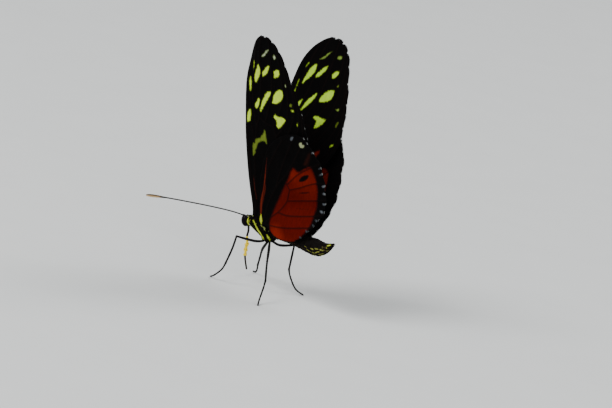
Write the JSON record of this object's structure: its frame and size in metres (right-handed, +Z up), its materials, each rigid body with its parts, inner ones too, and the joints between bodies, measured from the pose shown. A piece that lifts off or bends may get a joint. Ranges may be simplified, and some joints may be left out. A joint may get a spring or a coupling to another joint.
{
  "type": "butterfly model",
  "caption": "Life-size still model of a longwing butterfly standing with its dark, spotted wings raised and its tongue lowered.",
  "frame": {"origin": "centre of the bounding box at floor level, with the feet standing on Z = 0", "axes": "+X toward the tail, +Y toward the butterfly's right side, +Z up"},
  "size_m": [0.0472, 0.0342, 0.06],
  "materials": {
    "forewing_scales": "black wing scales with pale yellow-green spots",
    "hindwing_scales": "dark red wing scales with a black border and white margin dots",
    "body_fur": "brown-black hair with yellow stripes",
    "eye": "glossy dark facets",
    "feeler": "matte dark horn with a pale club tip",
    "tongue": "dark brown horn, dusted yellow along the middle",
    "leg": "black scaled horn"
  },
  "bodies": {
    "root": {"forewing_left": "forewing_scales", "forewing_right": "forewing_scales", "hindwing_left": "hindwing_scales", "hindwing_right": "hindwing_scales", "head": "body_fur", "thorax": "body_fur", "abdomen": "body_fur", "palp_left": "body_fur", "palp_right": "body_fur", "eye_left": "eye", "eye_right": "eye", "antenna_left": "feeler", "antenna_right": "feeler", "proboscis": "tongue", "foreleg_left": "leg", "foreleg_right": "leg", "femur_midleg_left": "leg", "tibia_midleg_left": "leg", "tarsus_midleg_left": "leg", "femur_midleg_right": "leg", "tibia_midleg_right": "leg", "tarsus_midleg_right": "leg", "femur_hindleg_left": "leg", "tibia_hindleg_left": "leg", "tarsus_hindleg_left": "leg", "femur_hindleg_right": "leg", "tibia_hindleg_right": "leg", "tarsus_hindleg_right": "leg"}
  },
  "joints": []
}
